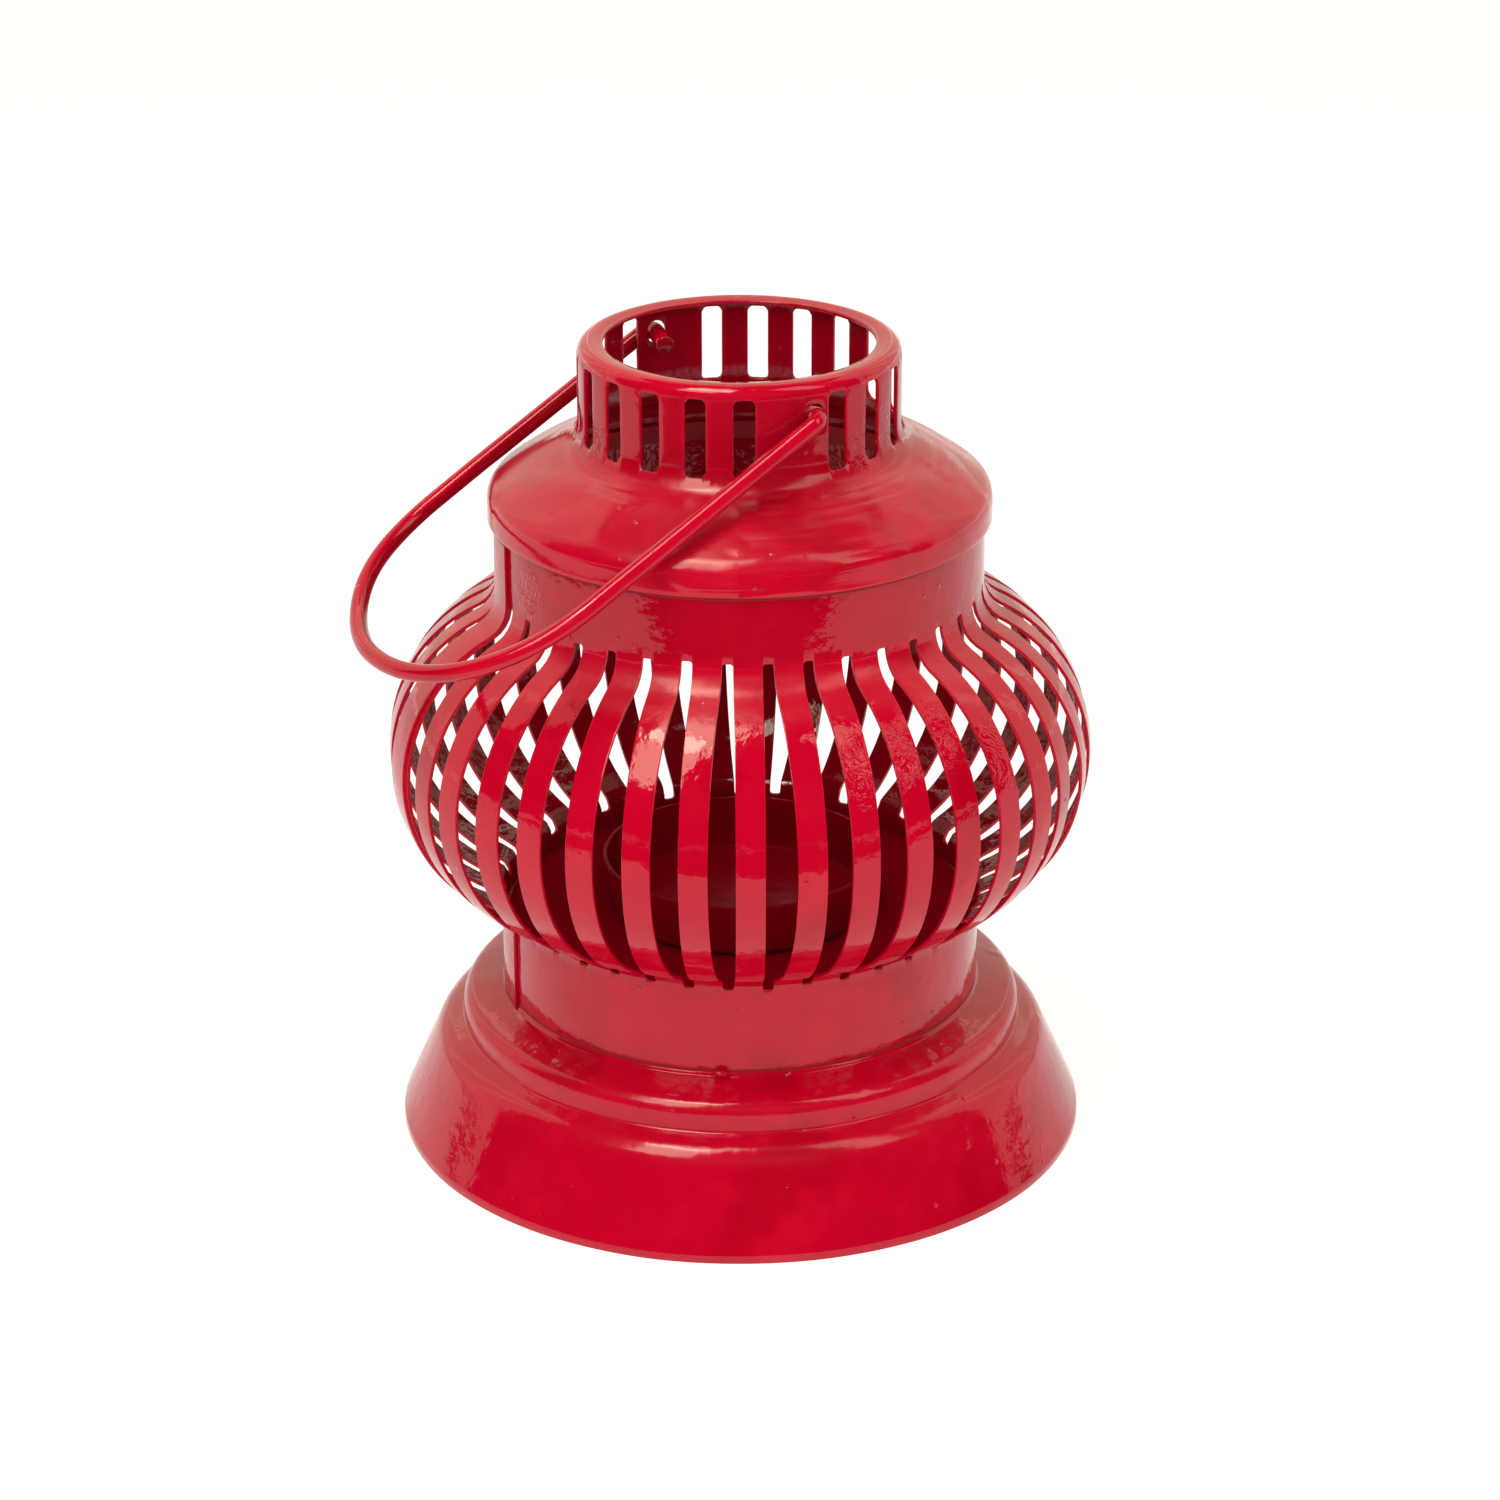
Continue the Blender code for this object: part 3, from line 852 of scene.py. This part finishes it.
class LANTERN_OT_candle_seat(bpy.types.Operator):
    """Make the tray and the shallow cup that holds the tealight"""

    bl_idname = "lantern.candle_seat"
    bl_label = "Tray and Cup"
    bl_options = {"REGISTER", "UNDO"}

    def execute(self, context):
        sizes = sheet_sizes()
        radius = sizes.band_radius - sizes.cage_sheet - TOUCH_GAP
        low = TRAY_HEIGHT - sizes.spun_sheet
        outline = [
            Vector((0, low)),
            Vector((radius * 0.5, low)),
            Vector((radius, low)),
            Vector((radius, TRAY_HEIGHT)),
            Vector((radius * 0.8, TRAY_HEIGHT)),
            Vector((radius * 0.4, TRAY_HEIGHT)),
            Vector((0, TRAY_HEIGHT)),
        ]
        disc = spin_outline(outline, 144)
        # Painted shade: the tray is darkened to a deep red.
        tray_paint = enamel("tray_enamel", peel=1.2, rings=0.4, roughness=0.24, deep=0.9, gloss=0.0)
        tray = finish_piece("candle_tray", disc, "lantern_body", ["tray"], tray_paint)
        round_edges(tray, sizes.edge_round, 2, 50)

        floor = TRAY_HEIGHT + TOUCH_GAP
        corners = [
            (CUP_RIM_RADIUS, floor + CUP_DEPTH, 0),
            (CUP_FLOOR_RADIUS, floor, 0.0012),
            (0, floor, 0),
        ]
        shell = spin_outline(evenly(rounded(corners, 6), 0.0025), 144)
        face_outwards(shell, Vector((0, -0.2, floor)))
        # Painted shade: the cup is darkened to a deep red.
        cup_paint = enamel("cup_enamel", peel=1.1, rings=0.6, roughness=0.24, deep=0.9, gloss=0.03)
        cup = finish_piece("tealight_cup", shell, "lantern_body", ["candle_cup"], cup_paint)
        thicken(cup, sizes.spun_sheet)
        round_edges(cup, sizes.edge_round * 1.8, 3, 50)
        return {"FINISHED"}


class NeckGrid:
    """The cap as an unrolled sheet: columns round the neck and rows down the outline."""

    SLOT_SHARES = (-1.0, -0.85, -0.62, -0.30, 0.0, 0.30, 0.62, 0.85, 1.0)
    HOLE_SHARES = (-1.0, -0.92, -0.70, -0.38, 0.0, 0.38, 0.70, 0.92, 1.0)
    LARGEST_STEP = math.radians(2.2)

    def __init__(self, sizes):
        lip = sizes.band_radius + LID_FIT + sizes.spun_sheet
        shoulder = LIP_BOTTOM + LIP_HEIGHT
        corners = [
            (sizes.mouth_radius, NECK_TOP - MOUTH_DROP, 0),
            (sizes.neck_radius, NECK_TOP, MOUTH_ROUND),
            (sizes.neck_radius, shoulder + DOME_RISE, NECK_FILLET),
            ((sizes.neck_radius + lip) / 2, shoulder + DOME_RISE / 2 + DOME_CROWN, DOME_ROUND),
            (lip, shoulder, LIP_ROUND),
            (lip, LIP_BOTTOM, 0),
        ]
        self.neck_radius = sizes.neck_radius
        self.outline = Outline(evenly(rounded(corners, 8), 0.0009))
        self.openings = self.make_openings()
        self.columns = self.make_columns()
        self.rows = self.make_rows()

    def make_openings(self):
        """Each opening as (azimuth, half width, low, high, corner radius, shares across)."""
        openings = []
        for place in range(NECK_SLOT_PLACES):
            if place in NECK_SLOT_SKIPPED:
                continue
            turn = NECK_SLOT_TURN + 2 * math.pi * place / NECK_SLOT_PLACES
            half = NECK_SLOT_WIDTH / 2
            openings.append((turn, half, NECK_SLOT_LOW, NECK_SLOT_HIGH, NECK_SLOT_ROUND, self.SLOT_SHARES))
        for turn in HOLE_TURNS:
            low, high = HINGE_HEIGHT - HOLE_RADIUS, HINGE_HEIGHT + HOLE_RADIUS
            openings.append((turn, HOLE_RADIUS, low, high, HOLE_RADIUS, self.HOLE_SHARES))
        return sorted(openings)

    def make_columns(self):
        """Each column as (azimuth, opening or None, share across it)."""
        columns = []
        first_start = self.openings[0][0] - self.openings[0][1] / self.neck_radius
        for index, opening in enumerate(self.openings):
            turn, half, shares = opening[0], opening[1] / self.neck_radius, opening[5]
            columns += [(turn + share * half, opening, share) for share in shares]
            end = turn + half
            if index + 1 < len(self.openings):
                following = self.openings[index + 1]
                start = following[0] - following[1] / self.neck_radius
            else:
                start = first_start + 2 * math.pi
            parts = max(2, math.ceil((start - end) / self.LARGEST_STEP))
            columns += [(end + (start - end) * part / parts, None, 0.0) for part in range(1, parts)]
        columns.append((first_start + 2 * math.pi, self.openings[0], -1.0))
        return columns

    def make_rows(self):
        """Distance of each row down the outline, with rows on the ends of the openings."""
        marks = [
            self.outline.where_height(height, True)
            for height in (
                NECK_SLOT_HIGH,
                HINGE_HEIGHT + HOLE_RADIUS,
                HINGE_HEIGHT,
                HINGE_HEIGHT - HOLE_RADIUS,
                NECK_SLOT_LOW,
            )
        ]
        rows = [mark for mark in self.outline.marks if not marks[0] - 0.0012 < mark < marks[-1] + 0.0012]
        rows += marks
        rows.append(marks[0] - 0.0010)
        rows.append(marks[-1] + 0.0010)
        rows.append(marks[-1] - 0.0014)
        between = marks[-1] - 0.0014 - marks[3]
        rows += [marks[3] + between * part / 4 for part in range(1, 4)]
        rows.sort()
        self.high_row, self.hole_high, self.hole_middle, self.hole_low, self.low_row = (
            rows.index(mark) for mark in marks
        )
        return rows

    def opening_rows(self, opening):
        """Top and bottom row of an opening."""
        if opening[5] is self.HOLE_SHARES:
            return self.hole_high, self.hole_low
        return self.high_row, self.low_row

    def is_open(self, column, row):
        """True where the punch took the sheet away."""
        first, second = self.columns[column], self.columns[column + 1]
        if first[1] is None or first[1] is not second[1] or second[2] < first[2]:
            return False
        top, bottom = self.opening_rows(first[1])
        return top <= row < bottom

    def place(self, column, row):
        """Where this point of the flat sheet ends up."""
        turn, opening, share = self.columns[column]
        distance = self.rows[row]
        if opening:
            top, bottom = self.opening_rows(opening)
            if row in (top, bottom):
                distance += self.corner_dip(opening, share) * (1 if row == top else -1)
        radius, height = self.outline.at(distance)
        swell = 0.00010 * waver(turn + 30 * height, 31, (2, 3, 5, 7, 12))
        if height < NECK_SLOT_LOW - 0.001:
            radius += swell
        return on_circle(radius, turn, height)

    def corner_dip(self, opening, share):
        """How far the end of an opening curves in at this share of its width."""
        half, corner = opening[1], opening[4]
        past = abs(share) * half - (half - corner)
        if past <= 0:
            return 0.0
        return corner - math.sqrt(max(0.0, corner**2 - past**2))


class LANTERN_OT_cap(bpy.types.Operator):
    """Shape the cap: rolled mouth, slotted neck, dome and lip"""

    bl_idname = "lantern.cap"
    bl_label = "Cap"
    bl_options = {"REGISTER", "UNDO"}

    def execute(self, context):
        sizes = sheet_sizes()
        shape = NeckGrid(sizes)
        across, down = len(shape.columns) - 1, len(shape.rows) - 1
        sheet = bmesh.new()
        bmesh.ops.create_grid(sheet, x_segments=across, y_segments=down, size=1)
        punched = []
        for face in sheet.faces:
            middle = face.calc_center_median()
            column = math.floor((middle.x + 1) / 2 * across)
            row = math.floor((middle.y + 1) / 2 * down)
            if shape.is_open(column, row):
                punched.append(face)
        bmesh.ops.delete(sheet, geom=punched, context="FACES")
        cut_edge = sheet.verts.layers.float.new("cut_edge")
        for vertex in sheet.verts:
            column = round((vertex.co.x + 1) / 2 * across)
            row = round((vertex.co.y + 1) / 2 * down)
            on_seam = column in (0, across) and 0 < row < down
            vertex[cut_edge] = 1.0 if vertex.is_boundary and not on_seam else 0.0
            vertex.co = shape.place(column, row)
        bmesh.ops.remove_doubles(sheet, verts=sheet.verts, dist=0.00002)
        bmesh.ops.recalc_face_normals(sheet, faces=sheet.faces)
        face_outwards(sheet, Vector((0, -0.2, 0.12)))
        shoulder = LIP_BOTTOM + LIP_HEIGHT
        # Painted shade on the neck and the dome, and a lighter painted shade on the cap's inward faces.
        shaded_neck = (NECK_FOOT, NECK_TOP - MOUTH_ROUND, 0.40)
        shaded_dome = (shoulder, NECK_FOOT, 0.10)
        dull_dome = (shoulder - 0.0005, NECK_FOOT + 0.0005, 0.12)
        material = enamel(
            "cap_enamel", peel=0.45, rings=2.4, roughness=0.09, has_edges=True, inside_shade=0.55,
            wrinkled=CAP_WRINKLES, shaded=(shaded_neck, shaded_dome), satin=(dull_dome,),
        )
        piece = finish_piece("slotted_cap", sheet, "lid", ["cap"], material)
        thicken(piece, sizes.spun_sheet)
        round_edges(piece, sizes.edge_round * 1.3, 2, 50)
        return {"FINISHED"}


class LANTERN_OT_bail(bpy.types.Operator):
    """Bend the wire handle and hook it through the neck"""

    bl_idname = "lantern.bail"
    bl_label = "Bail"
    bl_options = {"REGISTER", "UNDO"}

    def execute(self, context):
        sizes, wire = sheet_sizes(), wire_sizes()
        front = on_circle(sizes.neck_radius, HOLE_TURNS[0], HINGE_HEIGHT)
        back = on_circle(sizes.neck_radius, HOLE_TURNS[1], HINGE_HEIGHT)
        centre = (front + back) / 2
        axis = (front - back).normalized()
        side = axis.cross(Vector((0, 0, 1)))
        drop = self.drop(sizes, wire, centre, side)
        outward = side * math.cos(drop) - Vector((0, 0, 1)) * math.sin(drop)
        frame_turn = Matrix((axis, outward, axis.cross(outward))).transposed()
        path = self.path(sizes, wire)
        points = [centre + frame_turn @ point for point in path]
        rod = bmesh.new()
        self.sweep(rod, points, wire.radius)
        material = enamel("wire_enamel", peel=0.35, dust=0.6, roughness=0.08)
        finish_piece("wire_bail", rod, "handle", ["bail"], material)
        return {"FINISHED"}

    def drop(self, sizes, wire, centre, side):
        """Angle below level at which the legs rest on the cap's shoulder."""
        lip = sizes.band_radius + LID_FIT + sizes.spun_sheet
        half_span = sizes.neck_radius + wire.radius + TOUCH_GAP
        near_leg = half_span - BAIL_LEAN * lip
        across = math.sqrt(lip**2 - near_leg**2)
        reach = across - centre.dot(side)
        fall = HINGE_HEIGHT - LIP_BOTTOM - LIP_HEIGHT
        slant = math.hypot(1, fall / reach * lip / across)
        return math.atan2(fall - (wire.radius + TOUCH_GAP) * slant, reach)

    def path(self, sizes, wire):
        """The wire's centre line in its own plane, hook to hook, with a slight hand-bent wander."""
        half_span = sizes.neck_radius + wire.radius + TOUCH_GAP
        in_wall = sizes.neck_radius - sizes.spun_sheet / 2
        tip = in_wall - wire.hook
        heel = -BAIL_HOOK_LEAN * (half_span - in_wall) / wire.hook
        corners = [
            (tip, BAIL_HOOK_LEAN, 0),
            (half_span, heel, BAIL_BEND),
            (half_span, wire.reach, half_span - TOUCH_GAP),
            (-half_span, wire.reach, half_span - TOUCH_GAP),
            (-half_span, heel, BAIL_BEND),
            (-tip, BAIL_HOOK_LEAN, 0),
        ]
        outline = evenly(rounded(corners, 40), 0.0009)
        path = []
        for point in outline:
            lean = BAIL_LEAN * max(point.y - BAIL_BEND, 0)
            free = max(0.0, min(1.0, (point.y - 0.030) / 0.02))
            wander = 0.00018 * free * math.sin(point.x * 210 + point.y * 160)
            path.append(Vector((point.x + lean, point.y, wander)))
        return path

    def sweep(self, rod, points, radius):
        """Carry a ring of the wire's section along its centre line and close both ends."""
        sides = 20
        first = (points[1] - points[0]).normalized()
        aim = first.to_track_quat("Z", "Y").to_matrix().to_4x4()
        made = bmesh.ops.create_circle(rod, cap_ends=True, segments=sides, radius=radius * WIRE_END_SHARE)
        bmesh.ops.transform(rod, matrix=Matrix.Translation(points[0]) @ aim, verts=made["verts"])
        cap = rod.faces[:][0]
        direction = first
        face = cap
        last = (points[-1] - points[-2]).normalized()
        opened = points[0] + first * radius * WIRE_END_ROUND
        closed = points[-1] - last * radius * WIRE_END_ROUND
        lead = [opened, *points[1:-1], closed, points[-1]]
        here = points[0]
        for index, point in enumerate(lead):
            grown = bmesh.ops.extrude_discrete_faces(rod, faces=[face])
            face = grown["faces"][0]
            ahead = lead[index + 1] if index + 1 < len(lead) else point + (point - here)
            heading = ((point - here).normalized() + (ahead - point).normalized()).normalized()
            turn = direction.rotation_difference(heading).to_matrix()
            scale = 1.0
            if index == 0:
                scale = 1.0 / WIRE_END_SHARE
            if index == len(lead) - 1:
                scale = WIRE_END_SHARE
            for vertex in face.verts:
                vertex.co = point + turn @ (vertex.co - here) * scale
            direction = heading
            here = point
        bmesh.ops.remove_doubles(rod, verts=rod.verts, dist=0.000002)
        bmesh.ops.recalc_face_normals(rod, faces=rod.faces)


class LANTERN_OT_weld_beads(bpy.types.Operator):
    """Lay the lumps of weld between cage and base, under the paint"""

    bl_idname = "lantern.weld_beads"
    bl_label = "Weld Beads"
    bl_options = {"REGISTER", "UNDO"}

    def execute(self, context):
        material = enamel("bead_enamel", peel=1.2, roughness=0.08)
        for number in (1, 2, 3):
            node = f"weld_bead_{number}"
            low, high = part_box(node)
            middle = (low + high) / 2
            turn = math.atan2(middle.x, -middle.y)
            bead = bmesh.new()
            bmesh.ops.create_icosphere(bead, subdivisions=4, radius=0.0006)
            maker = random.Random(70 + number)
            for vertex in bead.verts:
                lump = 1 + 0.12 * math.sin(vertex.co.x * 5200 + number) * math.cos(vertex.co.z * 4700)
                flat = maker.uniform(0.96, 0.99)
                vertex.co = Vector((vertex.co.x * 2.0, vertex.co.y * 0.95, vertex.co.z * flat)) * lump * 0.9
            place = Matrix.Translation(middle) @ Matrix.Rotation(turn, 4, "Z")
            bmesh.ops.transform(bead, matrix=place, verts=bead.verts)
            finish_piece(f"bead_of_weld_{number}", bead, "lantern_body", [node], material)
        return {"FINISHED"}


# ---------------------------------------------------------------- studio


def soft_box(name, place, aim, width, height, glow, seen_by="both"):
    """One rectangular soft light aimed at a point; glow is its brightness beside the white floor's."""
    lamp = bpy.data.lights.new(name, "AREA")
    lamp.shape = "RECTANGLE"
    lamp.size = width
    lamp.size_y = height
    lamp.color = WARM_WHITE
    lamp.energy = glow * math.pi * width * height
    item = bpy.data.objects.new(name, lamp)
    item.location = place
    item.rotation_euler = (Vector(aim) - Vector(place)).to_track_quat("-Z", "Y").to_euler()
    item.visible_camera = False
    item.visible_diffuse = seen_by != "gloss"
    item.visible_glossy = seen_by != "diffuse"
    bpy.context.scene.collection.objects.link(item)
    return item


def from_lantern(turn, rise, distance):
    """A place this many degrees round and up from the middle of the lantern."""
    turn, rise = math.radians(turn), math.radians(rise)
    level = distance * math.cos(rise)
    return (level * math.sin(turn), -level * math.cos(turn), 0.06 + distance * math.sin(rise))


class LANTERN_OT_studio(bpy.types.Operator):
    """Set the floor, the soft lights and the camera"""

    bl_idname = "lantern.studio"
    bl_label = "Studio"
    bl_options = {"REGISTER", "UNDO"}

    def execute(self, context):
        self.floor()
        self.lights()
        self.camera()
        context.scene.view_settings.view_transform = "Standard"
        context.scene.view_settings.look = "None"
        return {"FINISHED"}

    def floor(self):
        ground = bmesh.new()
        bmesh.ops.create_grid(ground, x_segments=4, y_segments=4, size=4.0)
        mesh = bpy.data.meshes.new("studio_floor")
        ground.to_mesh(mesh)
        ground.free()
        item = bpy.data.objects.new("studio_floor", mesh)
        bpy.context.scene.collection.objects.link(item)
        material = bpy.data.materials.new("floor_white")
        material.use_nodes = True
        wiring = Wiring(material)
        shader = wiring.nodes["Principled BSDF"]
        shader.inputs["Base Color"].default_value = (*paint_colours().floor, 1)
        shader.inputs["Roughness"].default_value = 0.9
        shader.inputs["Specular IOR Level"].default_value = 0.0
        shader.inputs["Emission Color"].default_value = (1.0, 0.98, 0.93, 1)
        shader.inputs["Emission Strength"].default_value = 0.90
        item.data.materials.append(material)
        self.black_card()

    def black_card(self):
        """A black card on the floor in front; only the gloss sees it."""
        sheet = bmesh.new()
        bmesh.ops.create_grid(sheet, x_segments=2, y_segments=2, size=1.0)
        in_front = Matrix.Translation((0, -1.0 - CARD_DISTANCE, 0.0005))
        bmesh.ops.transform(sheet, matrix=in_front, verts=sheet.verts)
        mesh = bpy.data.meshes.new("black_card")
        sheet.to_mesh(mesh)
        sheet.free()
        card = bpy.data.objects.new("black_card", mesh)
        bpy.context.scene.collection.objects.link(card)
        material = bpy.data.materials.new("card_black")
        material.use_nodes = True
        shader = material.node_tree.nodes["Principled BSDF"]
        shader.inputs["Base Color"].default_value = (0.004, 0.004, 0.004, 1)
        shader.inputs["Specular IOR Level"].default_value = 0.0
        card.data.materials.append(material)
        card.visible_camera = False
        card.visible_diffuse = False
        card.visible_shadow = False

    def lights(self):
        world = bpy.data.worlds.new("studio_air")
        world.use_nodes = True
        back = world.node_tree.nodes["Background"]
        back.inputs["Color"].default_value = (1, 1, 1, 1)
        back.inputs["Strength"].default_value = 0.38
        world.cycles_visibility.glossy = False
        bpy.context.scene.world = world
        middle = (0, 0, 0.06)
        soft_box("top_light", from_lantern(-40, 62, 0.9), middle, 0.45, 1.0, 3.7, "diffuse")
        soft_box("front_fill", (0, -0.42, 0.30), (0, 0, 0.03), 0.50, 0.20, 1.9, "diffuse")
        soft_box("key_left", from_lantern(-34, 58, 0.9), middle, 0.32, 0.80, 7.0, "gloss")
        soft_box("key_core", from_lantern(-40, 66, 0.88), middle, 0.26, 0.12, 12.0, "gloss")
        soft_box("fill_right", from_lantern(57, 48, 0.9), middle, 0.26, 0.70, 3.0)
        for turn in range(104, 257, 19):
            soft_box("white_sweep", from_lantern(turn, 30, 1.0), (0, 0, 0.30), 0.34, 1.1, 1.0, "gloss")
        soft_box("ceiling", (0, 0.60, 1.1), middle, 0.9, 0.55, 0.60, "gloss")

    def camera(self):
        lens = bpy.data.cameras.new("studio_camera")
        lens.sensor_width = 36.0
        lens.lens = 100.05
        lens.shift_x = -0.0072
        lens.shift_y = -0.0229
        lens.clip_start = 0.01
        item = bpy.data.objects.new("studio_camera", lens)
        item.location = (0.00309, -0.57693, 0.30006)
        item.rotation_euler = (math.radians(90 - 22.2534), 0, 0)
        bpy.context.scene.collection.objects.link(item)
        bpy.context.scene.camera = item


class LANTERN_PT_pieces(bpy.types.Panel):
    """Lists the lantern's settings and pieces"""

    bl_label = "Lantern"
    bl_idname = "LANTERN_PT_pieces"
    bl_space_type = "VIEW_3D"
    bl_region_type = "UI"
    bl_category = "Lantern"

    def draw(self, context):
        layout = self.layout
        scene = context.scene
        for settings in (scene.lantern_sheet, scene.lantern_wire, scene.lantern_paint):
            box = layout.box()
            for key in settings.bl_rna.properties.keys():
                if key not in ("rna_type", "name"):
                    box.prop(settings, key)
        for operator in PIECES:
            layout.operator(operator.bl_idname)


SETTINGS = (LanternSheet, LanternWire, LanternPaint)
PIECES = (
    LANTERN_OT_studio,
    LANTERN_OT_base_skirt,
    LANTERN_OT_cage,
    LANTERN_OT_candle_seat,
    LANTERN_OT_cap,
    LANTERN_OT_bail,
    LANTERN_OT_weld_beads,
)
CLASSES = (*SETTINGS, *PIECES, LANTERN_PT_pieces)


def register():
    for item in CLASSES:
        bpy.utils.register_class(item)
    bpy.types.Scene.lantern_sheet = bpy.props.PointerProperty(type=LanternSheet)
    bpy.types.Scene.lantern_wire = bpy.props.PointerProperty(type=LanternWire)
    bpy.types.Scene.lantern_paint = bpy.props.PointerProperty(type=LanternPaint)


def unregister():
    del bpy.types.Scene.lantern_paint
    del bpy.types.Scene.lantern_wire
    del bpy.types.Scene.lantern_sheet
    for item in reversed(CLASSES):
        bpy.utils.unregister_class(item)


def main():
    register()
    bpy.ops.lantern.studio()
    bpy.ops.lantern.base_skirt()
    bpy.ops.lantern.cage()
    bpy.ops.lantern.candle_seat()
    bpy.ops.lantern.cap()
    bpy.ops.lantern.bail()
    bpy.ops.lantern.weld_beads()


if __name__ == "__main__":
    main()
